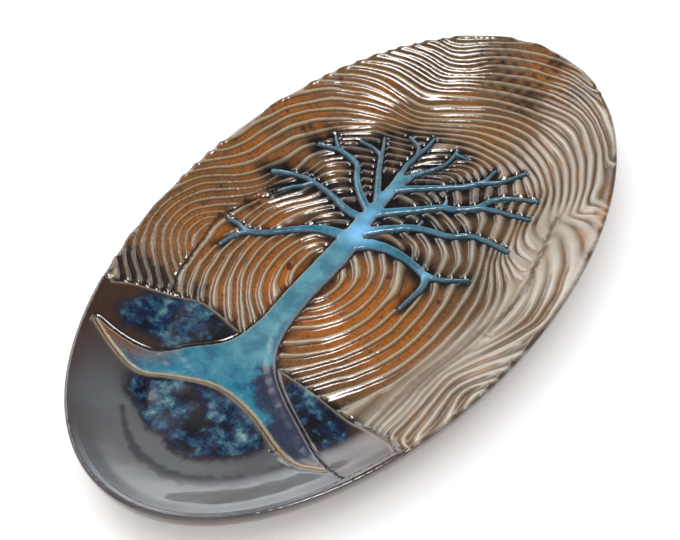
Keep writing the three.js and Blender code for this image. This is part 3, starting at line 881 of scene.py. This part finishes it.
def make_tree_glaze(name, thin, thick):
    """Blue glaze, thin at the edges, pooled black at its foot and with painted shade on the edges facing
    the camera; it breaks to grey on the upper edges.
    """
    glaze = Glaze(name)
    root = glaze.value("root")
    cloud = glaze.noise(13, 5, 0.6)
    speck = glaze.noise(1.6, 4, 0.7)
    blots = glaze.noise(9, 7, 0.7, shift=9.0)
    ragged = glaze.calc("MULTIPLY_ADD", glaze.noise(13, 8, 0.75, shift=7.0), 1.9, glaze.value("dusk"))
    colour = glaze.coats(
        thin, (thick, glaze.between(cloud, 0.35, 0.65)),
        ((0.011, 0.16, 0.24), glaze.times(root, 0.85)),
        ((0.006, 0.045, 0.125), glaze.times(root, glaze.between(blots, 0.50, 0.62, 0.0, 0.7))),
        ((0.14, 0.27, 0.29), glaze.times(root, glaze.between(blots, 0.36, 0.45, 0.6, 0.0))),
        ((0.20, 0.52, 0.86), glaze.value("bright")),
        ((0.022, 0.014, 0.040), glaze.between(ragged, 1.34, 1.75, 0.0, 0.9)),
        ((0.16, 0.062, 0.026), glaze.value("rust")),
        # Painted shade on the edges that face the camera.
        ((0.012, 0.05, 0.10), glaze.value("shade")),
        ((0.27, 0.235, 0.21), glaze.times(glaze.value("edge"), glaze.between(speck, 0.25, 0.6, 0.6, 1.0))),
        ((0.55, 0.40, 0.22), glaze.value("gold")), (BLACK, glaze.value("pool")),
        ((0.22, 0.33, 0.36), glaze.between(speck, 0.58, 0.75, 0.0, 0.2)))
    roughness = glaze.between(cloud, 0.3, 0.7, 0.2, 0.32)
    return glaze.finish(colour, roughness, glaze.noise(4, 3, 0.5), 0.14, coat=0.28)


def make_bare_clay():
    """Unglazed fired clay, with grog specks and a fine tooth."""
    glaze = Glaze("bare_clay")
    speck = glaze.noise(0.9, 3, 0.6)
    colour = glaze.mix((0.20, 0.125, 0.085), (0.29, 0.19, 0.13), glaze.between(speck, 0.35, 0.65))
    colour = glaze.mix(colour, (0.10, 0.06, 0.045), glaze.between(glaze.noise(30), 0.45, 0.7, 0.0, 0.5))
    return glaze.finish(colour, glaze.between(speck, 0.3, 0.7, 0.72, 0.85), speck, 0.12, coat=0.0)


# ---------------------------------------------------------------- where the glazes lie

def spots(x, y, places):
    """Soft round patches, from (x, y, radius, strength) for each."""
    total = np.zeros(np.shape(x))
    for centre_x, centre_y, radius, strength in places:
        total += strength * np.exp(-((x - centre_x)**2 + (y - centre_y)**2) / radius**2)
    return np.clip(total, 0, 1)


# Round patches of each look of the glaze: x, y, radius and strength.
AMBER_PLACES = (
    (10, -30, 42, 1.0), (48, -35, 28, 0.9), (-42, -38, 34, 0.9), (-92, -32, 34, 0.8), (-104, 30, 24, 0.8),
    (-98, 80, 26, 0.8), (-70, 122, 22, 0.75), (-30, 160, 20, 0.45), (10, 140, 26, 0.45), (5, 200, 22, 0.6),
    (-60, 8, 16, 0.5), (104, 105, 16, 0.8), (-52, 62, 14, 0.35), (60, 185, 20, 0.3),
)
# Pale patches: partly paler glaze, partly a painted sheen where the glossy flange mirrors the bright
# backdrop.
PALE_SHEEN_PLACES = (
    (102, 45, 30, 1.0), (98, -25, 28, 1.0), (84, 98, 28, 0.9), (64, 140, 28, 0.7), (92, 72, 26, 0.8),
    (96, -80, 26, 0.8), (44, 165, 26, 0.5), (30, 128, 22, 0.4), (-30, 148, 16, 0.3), (66, 64, 14, 0.5),
)
TAN_PLACES = (
    (10, 130, 26, 1.0), (-32, 130, 22, 0.8), (44, 122, 20, 0.8), (30, 160, 22, 0.5), (-92, 108, 22, 0.5),
    (62, 92, 16, 0.6), (-100, 60, 18, 0.4), (0, 190, 26, 0.3), (-60, 150, 20, 0.3),
)
SMUDGE_PLACES = (
    (9, 181, 15, 0.6), (11, 211, 10, 0.7), (36, 192, 12, 0.6), (-84, 33, 10, 0.9), (-88, 70, 9, 0.6),
    (-102, -86, 14, 1.0), (-84, -78, 9, 0.9), (-65, -70, 8, 0.8), (-82, 2, 8, 0.7), (-62, 160, 26, 0.5),
    (-20, 190, 22, 0.5), (57, -100, 9, 0.8), (80, -112, 9, 0.7),
)
THICK_PLACES = (
    (-42, -138, 14, 0.9), (-26, -133, 15, 1.0), (-8, -140, 18, 1.0), (10, -142, 15, 1.0),
    (23, -137, 11, 0.9), (-24, -150, 11, 0.8), (-2, -156, 11, 0.8), (-72, -98, 11, 0.8),
    (-58, -92, 14, 1.0), (-42, -91, 13, 1.0), (-50, -103, 12, 0.9), (-33, -96, 10, 0.8), (26, -98, 9, 0.9),
    (38, -103, 11, 1.0), (48, -107, 11, 0.9), (60, -110, 11, 0.9), (-78, -112, 12, 0.6),
)
MIST_PLACES = (
    (-50, -158, 24, 0.7), (-22, -196, 34, 1.0), (34, -182, 34, 1.0), (66, -150, 26, 0.9),
)
HALO_PLACES = (
    (-8, -143, 46, 0.9), (52, -112, 16, 0.9),
)


# Along the bend of the dish on the right the field is paler, with a line of painted shade down
# the bend, and a dark line crosses the front ground. Both lines were converted from places picked
# in the photo, as some of the strokes were.
BEND_LINE = [(76, 97), (80, 81), (83, 70), (86, 55), (90, 42), (92, 29), (90, 11), (87, -6), (85, -20),
             (82, -31), (79, -45), (78, -55), (76, -69), (75, -84), (75, -96)]
FRONT_DARK_LINE = [(-43, -162), (-28, -174), (-11, -181), (10, -180), (29, -170), (46, -155), (54, -139)]


def line_distance(points, x, y):
    """Distance to the smooth line through a few points."""
    nearest = np.full(x.shape, 1e9)
    for line_x, line_y in drawn_through(points, 1.0):
        nearest = np.minimum(nearest, (x - line_x)**2 + (y - line_y)**2)
    return np.sqrt(nearest)


def ground_values(x, y, edge, pool):
    """What the ground glaze needs to know at each point."""
    thick = spots(x, y, THICK_PLACES)
    halo = np.clip(spots(x, y, HALO_PLACES) - thick, 0, 1)
    # A dark line across the front ground, narrower towards the right.
    front_line_gap = line_distance(FRONT_DARK_LINE, x, y) / (1 + 0.05 * np.clip(x + 45, 0, 60))
    front_dark = 1 - smooth_step(front_line_gap + 0.5 * wander(x, y, 11), 0.6, 1.6)
    return {"thick": thick, "halo": halo, "front_dark": front_dark, "mist": spots(x, y, MIST_PLACES),
            "edge": edge, "pool": pool}


# ---------------------------------------------------------------- the slab

def field_shape(x, y):
    """Carved depth at points of the field, and what its glaze needs to know."""
    number = crest_number(x, y)
    pitch, _, _ = groove_pitch(x, y)
    pale, tawny = spots(x, y, PALE_SHEEN_PLACES), spots(x, y, TAN_PLACES)
    broad = np.maximum(pale, 0.75 * tawny)
    crest = crest_share(number, broad)
    beside_tree = -tree_depth(x, y, 30.0)
    ground = ground_depth(x, y)
    inset = inset_of(x, y)
    open_field = smooth_step(beside_tree, 0.5, 2.1) * smooth_step(-ground, 0.5, 2.2)
    bend = line_distance(BEND_LINE, x, y)
    band = 1 - smooth_step(bend, 4, 16)
    toward_front = smooth_step(-y, -25, 20)
    bend_shade = bend / (1 + 1.4 * toward_front)
    # The grooves are shallower along the bend, where ridges are broad, at the top and by the right rim.
    top_flange = (1 - smooth_step(inset, 26, 46)) * smooth_step(y, 40, 110)
    smooth_rim = (1 - smooth_step(inset, 1, 8)) * smooth_step(x, 30, 75)
    deepest = np.minimum(CARVING_DEPTH, DEPTH_PER_PITCH * pitch) * (1 + 0.08 * wander(x, y, 40))
    deepest = deepest * (1 - 0.65 * band) * (1 - 0.2 * broad)
    deepest = deepest * (1 - 0.3 * top_flange) * (1 - 0.75 * smooth_rim)
    carved = deepest * (1 - crest)
    # The field is cut to full depth beside the tree, the hills and the crease on the left.
    open_field = open_field * smooth_step(line_distance(LEFT_CREASE, x, y), 0.2, 1.7)
    carved = CARVING_DEPTH + (carved - CARVING_DEPTH) * open_field
    on_ground = ground > 0
    under_relief = CARVING_DEPTH * smooth_step(inset, 5.4, 7.5)
    carved = np.where(on_ground, under_relief, carved)
    crown = (1 - smooth_step(beside_tree + 3 * wander(x, y, 19), 2, 13)) * smooth_step(y, -2, 22)
    crown *= 1 - 0.6 * smooth_step(x, 20, 60)
    smudge = 0.85 * smooth_step(spots(x, y, SMUDGE_PLACES) + 0.3 * wander(x, y, 9), 0.25, 0.75)
    values = {
        "crest": crest * (0.35 + 0.65 * open_field),
        "amber": spots(x, y, AMBER_PLACES),
        "pale": pale,
        "tan": tawny,
        "dark": np.maximum(crown, smudge),
        "band": band,
        # Painted shade along the bend of the dish.
        "bend_shade": (1 - smooth_step(bend_shade + 0.8 * wander(x, y, 9), 0.9, 2.3)) * (1 - 0.45 * toward_front),
        "ground": on_ground.astype(float),
        "side": smooth_step(-inset, -0.8, 0.1),
        "bare": np.zeros(x.shape),
    }
    close = np.minimum(beside_tree + 2, -ground + 1)
    seep = 0.85 * (1 - smooth_step(close + 2 * wander(x, y, 23), 2.5, 8.5)) * (1 - crest)
    pool = np.where(on_ground, 0, np.maximum(seep, 0.95 * (1 - open_field) * (1 - 0.5 * crest)))
    values.update(ground_values(x, y, np.zeros(x.shape), pool))
    return carved, values


def settled(x, y, cell):
    """Grid points nudged onto the nearest crest line, so that crests stay sharp."""
    number = crest_number(x, y)
    _, slope_x, slope_y = groove_pitch(x, y)
    steep = np.maximum(slope_x**2 + slope_y**2, 0.004)
    away = (number - np.round(number)) / steep
    move_x, move_y = -away * slope_x, -away * slope_y
    near = np.hypot(move_x, move_y) < 0.32 * cell
    return x + np.where(near, move_x, 0), y + np.where(near, move_y, 0)


def build_slab(material):
    """The dish: the carved top face, the rim's side and the underside, as one closed mesh."""
    grid_x, grid_y = grid_over((-HALF_WIDTH, -HALF_LENGTH), (HALF_WIDTH, HALF_LENGTH), SLAB_CELL)
    shape = grid_x.shape
    x, y = settled(grid_x.ravel(), grid_y.ravel(), SLAB_CELL)
    keep = inset_of(grid_x, grid_y) > 0.4 * SLAB_CELL
    first_look = plate_top(x, y) - CARVING_DEPTH * (1 - crest_share(GROOVES.at(x, y)))
    triangles, x, y = compacted(grid_patch(keep, first_look.reshape(shape)), x, y)
    border = open_edges(triangles)
    rim = np.unique(border)
    for _ in range(3):  # each round brings the rim's points closer to the oval's edge
        across, along = x[rim] / HALF_WIDTH**2, y[rim] / HALF_LENGTH**2
        reach = inset_of(x[rim], y[rim]) / np.hypot(across, along)
        x[rim] += across * reach
        y[rim] += along * reach
    carved, values = field_shape(x, y)
    z = np.minimum(plate_top(x, y) - carved, RIM_CEILING)
    values["side"][rim] = 0.6

    # Rings of points from the rim down the side and in under the dish: how far in each is, how
    # far down the side (None once under the dish), and how much glaze it has.
    turn = np.arctan2(y[rim] / HALF_LENGTH, x[rim] / HALF_WIDTH)
    levels = ((0.0, 0.2, 1), (0.35, 0.5, 1), (1.0, 0.82, 1), (2.2, 1.0, 0.9), (5.0, None, 0.3),
              (14.0, None, 0), (26.0, None, 0), (38.0, None, 0), (50.0, None, 0), (88.0, None, 0))
    points = [np.stack([x, y, z], 1)]
    faces = [triangles]
    ring_start = np.full(len(x), -1)
    ring_start[rim] = np.arange(len(rim))
    start, end = ring_start[border[:, 0]], ring_start[border[:, 1]]
    above = rim
    total = len(x)
    extra = {key: [value] for key, value in values.items()}
    for inset, fall, side in levels:
        ring_x = (HALF_WIDTH - inset) * np.cos(turn)
        ring_y = (HALF_LENGTH - inset) * np.sin(turn)
        low = under_face(ring_x, ring_y)
        if fall is not None:
            foot = under_face((HALF_WIDTH - 2.6) * np.cos(turn), (HALF_LENGTH - 2.6) * np.sin(turn))
            low = z[rim] + (foot + 0.3 - z[rim]) * fall
        points.append(np.stack([ring_x, ring_y, low], 1))
        ring = total + np.arange(len(rim))
        faces.append(np.stack([above[start], ring[start], ring[end]], 1))
        faces.append(np.stack([above[start], ring[end], above[end]], 1))
        above = ring
        total += len(rim)
        for key in extra:
            level = {"side": side, "bare": 1 - side}.get(key, 0)
            extra[key].append(np.full(len(rim), float(level)))
    points.append(np.array([[0, 0, under_face(np.array([0.1]), np.array([0.1]))[0]]]))
    faces.append(np.stack([above[start], np.full(len(start), total), above[end]], 1))
    for key in extra:
        extra[key].append(np.array([1.0 if key == "bare" else 0.0]))
    values = {key: np.concatenate(value) for key, value in extra.items()}
    return make_piece("slab", np.vstack(points), np.vstack(faces).tolist(), material, values)


# ---------------------------------------------------------------- the tree and the ground

# Round patches on the tree, in the same way.
DUSK_PLACES = (
    (10, -104, 12, 0.8), (26, -110, 12, 0.8), (50, -126, 18, 1.0), (2, -94, 8, 0.5), (34, -128, 10, 0.5),
    (-52, -110, 9, 0.5), (-70, -118, 8, 0.4),
)
RUST_PLACES = (
    (-68, -122, 13, 0.95), (-86, -128, 13, 1.0), (-54, -114, 9, 0.6), (66, -136, 7, 0.9),
)
BRIGHT_PLACES = (
    (-14, 21, 10, 0.95), (-17, 38, 6, 0.55), (-16, 58, 7, 0.65), (46, 93, 4, 0.8), (14, 73, 3, 0.7),
    (36, 16, 4, 0.6), (-74, -14, 5, 0.7),
)


def own_depth(name, x, y):
    """Signed distance from one CAD node's own outline."""
    gap = REACH[name].distance(x, y, 14.0)
    return np.where(is_inside(OUTLINES[name], x, y), gap, -gap)


def tucked_under(lift, joined, own):
    """The lift, less a fall away where the piece runs on beneath its neighbour."""
    seam_drop, gap, fall = 0.02, 0.3, 0.8
    return lift - np.where(joined, seam_drop + fall * np.maximum(-own - gap, 0), 0)


def patch_for(name, cell, margin=0.8):
    """Grid triangles over one node's outline and a margin round it."""
    outline = OUTLINES[name].reshape(-1, 2)
    grid_x, grid_y = grid_over(outline.min(0) - margin - cell, outline.max(0) + margin + cell, cell)
    x, y = grid_x.ravel(), grid_y.ravel()
    keep = (own_depth(name, x, y) > -margin).reshape(grid_x.shape)
    return compacted(grid_patch(keep, grid_x * 0), x, y)


def build_tree_piece(name, material):
    """One piece of the tree: domed, and falling below the field at its edges."""
    triangles, x, y = patch_for(name, TREE_CELL)
    depth = tree_depth(x, y)
    depth = depth + 0.22 * wander(x, y, 8) * smooth_step(depth, -0.6, 0.6)
    own = own_depth(name, x, y)
    rounding, foot_level, dome_height = 2.3, -1.75, 2.2
    share = np.clip(depth / rounding, 0, 1)
    dome = np.where(depth > 0, np.sqrt(1 - (1 - share)**2), depth * 1.3)
    lift = foot_level + dome_height * dome
    wide = smooth_step(depth, 2.5, 8.0)
    lift = lift - 0.45 * wide + 0.12 * wander(x, y, 17) * share
    joined = (depth > 0) & (own < 0)
    lift = tucked_under(lift, joined, own)
    z = plate_top(x, y) + lift
    facing = TREE_SHORE.facing(x, y)
    edge = np.exp(-((depth - 0.7) / 0.75)**2)
    edge_strength = 1 if name == "trunk_and_roots" else 0.6
    root = smooth_step(-y, 84, 112)
    values = {
        # Grey glaze break on the edges, held back on edges facing the camera, which get painted shade.
        "edge": np.clip(edge * (0.95 - 0.75 * np.clip(facing, 0, 1)), 0, 1) * edge_strength,
        # Painted shade along the edges that face the camera.
        "shade": 0.6 * np.exp(-np.maximum(depth, 0) / 1.8) * np.clip(facing * 1.3, 0, 1) * (1 - root),
        "bright": spots(x, y, BRIGHT_PLACES),
        "root": root,
        "dusk": spots(x, y, DUSK_PLACES),
        "rust": spots(x, y, RUST_PLACES),
        "gold": root * edge * smooth_step(facing, 0.0, 0.5) * 0.8,
        "pool": 0.9 * (1 - smooth_step(depth, -0.3, 0.35)),
    }
    return make_patch(name, triangles, x, y, z, material, values)


def build_ground_piece(name, material):
    """A hill or the front ground: rounded at the skyline, dipping beside the roots."""
    triangles, x, y = patch_for(name, GROUND_CELL)
    beside_tree = -tree_depth(x, y)
    skyline = ground_depth(x, y)
    own = own_depth(name, x, y)
    inset = inset_of(x, y)
    lift = 0.45 * smooth_step(inset, 4.8, 14) - 0.06 * np.maximum(4.8 - inset, 0)**2
    round_over = np.clip(1 - skyline / 1.5, 0, 2)
    lift = lift - 1.9 * np.where(round_over < 1, 1 - np.sqrt(1 - np.minimum(round_over, 1)**2), round_over)
    if name == "ground_front":
        lip = 0.45 * np.exp(-((beside_tree - 1.9) / 1.2)**2)
        lift = lift + lip - 2.2 * (1 - smooth_step(beside_tree, -0.2, 1.0))
        edge = 0.9 * np.exp(-((beside_tree - 1.5) / 0.8)**2)
    else:
        lift = lift - 1.3 * (1 - smooth_step(beside_tree, -0.9, 1.7))
        edge = 0.85 * np.exp(-((skyline - 1.1) / 0.9)**2)
    joined = (own < 0) & (skyline > 0.8) & (beside_tree > 0.8)
    lift = tucked_under(lift, joined, own)
    lift = lift + 0.1 * wander(x, y, 30) * smooth_step(inset, 5, 14)
    z = plate_top(x, y) + lift
    pool = 0.92 * (1 - smooth_step(beside_tree, 0.1, 1.0 if name == "ground_front" else 3.6))
    values = ground_values(x, y, edge, pool)
    return make_patch(name, triangles, x, y, z, material, values)


def build_foot(material):
    """The unglazed foot ring: a soft-edged band round the underside."""
    profile = ((57.7, 7.6), (58.2, 4.5), (58.9, 1.6), (60.0, 0.35), (61.4, 0.0), (64.8, 0.0),
               (66.2, 0.35), (67.2, 1.6), (67.9, 4.5), (68.3, 7.6))
    steps = 220
    turn = np.linspace(0, 2 * math.pi, steps, endpoint=False)
    points, faces = [], []
    for inset, height in profile:
        uneven = 0.12 * np.sin(5 * turn + height) * (0 < height < 7)
        points.append(np.stack([(HALF_WIDTH - inset + uneven) * np.cos(turn),
                                (HALF_LENGTH - inset + uneven) * np.sin(turn),
                                np.full(steps, height)], 1))
    for ring in range(len(profile)):
        other = (ring + 1) % len(profile)
        for k in range(steps):
            after = (k + 1) % steps
            faces.append((ring * steps + k, other * steps + k, other * steps + after, ring * steps + after))
    return make_piece("foot", np.vstack(points), faces, material)


def belongs(piece, node):
    """Puts a piece under the root body and hides the CAD node it stands for."""
    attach(piece, "root")
    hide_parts(node)


def build_platter():
    """Every piece of the platter, each on its CAD node."""
    belongs(build_slab(make_field_glaze()), "dish_slab")
    belongs(build_foot(make_bare_clay()), "foot_ring")
    trunk = make_tree_glaze("trunk_blue", (0.045, 0.155, 0.215), (0.090, 0.262, 0.325))
    limb = make_tree_glaze("limb_blue", (0.012, 0.11, 0.175), (0.035, 0.20, 0.285))
    for name in TREE_NODES:
        is_trunk = name == "trunk_and_roots"
        piece = build_tree_piece(name, trunk if is_trunk else limb)
        belongs(piece, name)
    hill = make_ground_glaze("hill_glaze")
    front = make_ground_glaze("ground_glaze")
    for name in GROUND_NODES:
        is_front = name == "ground_front"
        piece = build_ground_piece(name, front if is_front else hill)
        belongs(piece, name)


# ---------------------------------------------------------------- studio

def build_floor():
    """A plain pale table top, just under the foot."""
    reach, drop = 3000.0, 0.0002
    glaze = Glaze("pale_table")
    tone = glaze.mix((0.95, 0.95, 0.95), (0.98, 0.98, 0.98), glaze.noise(300, 2))
    material = glaze.finish(tone, 0.7, glaze.noise(3, 2), 0.02, coat=0.0)
    # A faint glow keeps the table as pale as an overexposed backdrop.
    glaze.shader.inputs["Emission Color"].default_value = (1, 1, 1, 1)
    glaze.shader.inputs["Emission Strength"].default_value = 0.12
    corners = [(-reach, -reach, 0), (reach, -reach, 0), (reach, reach, 0), (-reach, reach, 0)]
    floor = make_piece("table_top", corners, [(0, 1, 2, 3)], material)
    floor.location.z = -drop


def add_softbox(name, place, target, size, power):
    """A rectangular light aimed at a point."""
    light = bpy.data.lights.new(name, "AREA")
    light.shape = "RECTANGLE"
    light.size, light.size_y = size
    light.energy = power
    lamp = bpy.data.objects.new(name, light)
    lamp.location = place
    lamp.rotation_mode = "QUATERNION"
    lamp.rotation_quaternion = (Vector(target) - Vector(place)).to_track_quat("-Z", "Y")
    bpy.context.scene.collection.objects.link(lamp)
    return lamp


def light_scene():
    """A room with a bright horizon and a dim ceiling, and four softboxes.

    The overhead one only makes gloss highlights, and the ceiling one only soft light.
    """
    world = bpy.data.worlds.new("studio")
    bpy.context.scene.world = world
    world.use_nodes = True
    nodes, links = world.node_tree.nodes, world.node_tree.links
    place = nodes.new("ShaderNodeTexCoord")
    split = nodes.new("ShaderNodeSeparateXYZ")
    links.new(place.outputs["Generated"], split.inputs["Vector"])
    ramp = nodes.new("ShaderNodeMapRange")
    ramp.interpolation_type = "SMOOTHSTEP"
    for socket, number in (("From Min", 0.03), ("From Max", 0.46), ("To Min", 2.8), ("To Max", 0.06)):
        ramp.inputs[socket].default_value = number
    links.new(split.outputs["Z"], ramp.inputs["Value"])
    links.new(ramp.outputs["Result"], nodes["Background"].inputs["Strength"])
    nodes["Background"].inputs["Color"].default_value = (0.97, 0.98, 1.0, 1)
    add_softbox("overhead", (0.57, -0.02, 1.38), (0, 0.05, 0), (0.40, 0.60), 17).visible_diffuse = False
    add_softbox("ceiling", (0, 0, 2.0), (0, 0, 0), (2.6, 2.6), 46).visible_glossy = False
    add_softbox("key", (-1.35, 0.25, 1.25), (0, 0, 0), (1.1, 0.9), 12)
    add_softbox("fill", (0.15, -1.35, 1.2), (0, 0, 0), (1.2, 1.2), 5)


def place_camera():
    """A camera at the photo's angle, looking down at the dish from the front right.

    Its azimuth, target and lens come from a scratch program's fit to the rim in the photo, for
    a chosen elevation and distance.
    """
    azimuth, elevation, distance = math.radians(35.68), math.radians(48), 0.9
    target = Vector((0.00289, -0.02352, 0.034))
    back = Vector((math.sin(azimuth) * math.cos(elevation),
                   -math.cos(azimuth) * math.cos(elevation), math.sin(elevation)))
    data = bpy.data.cameras.new("camera")
    data.sensor_width = 36
    data.sensor_fit = "HORIZONTAL"
    data.lens = 83.68
    camera = bpy.data.objects.new("camera", data)
    camera.location = target + back * distance
    camera.rotation_mode = "QUATERNION"
    camera.rotation_quaternion = (-back).to_track_quat("-Z", "Y")
    bpy.context.scene.collection.objects.link(camera)
    bpy.context.scene.camera = camera


build_platter()
build_floor()
light_scene()
place_camera()
bpy.context.scene.view_settings.view_transform = "Standard"
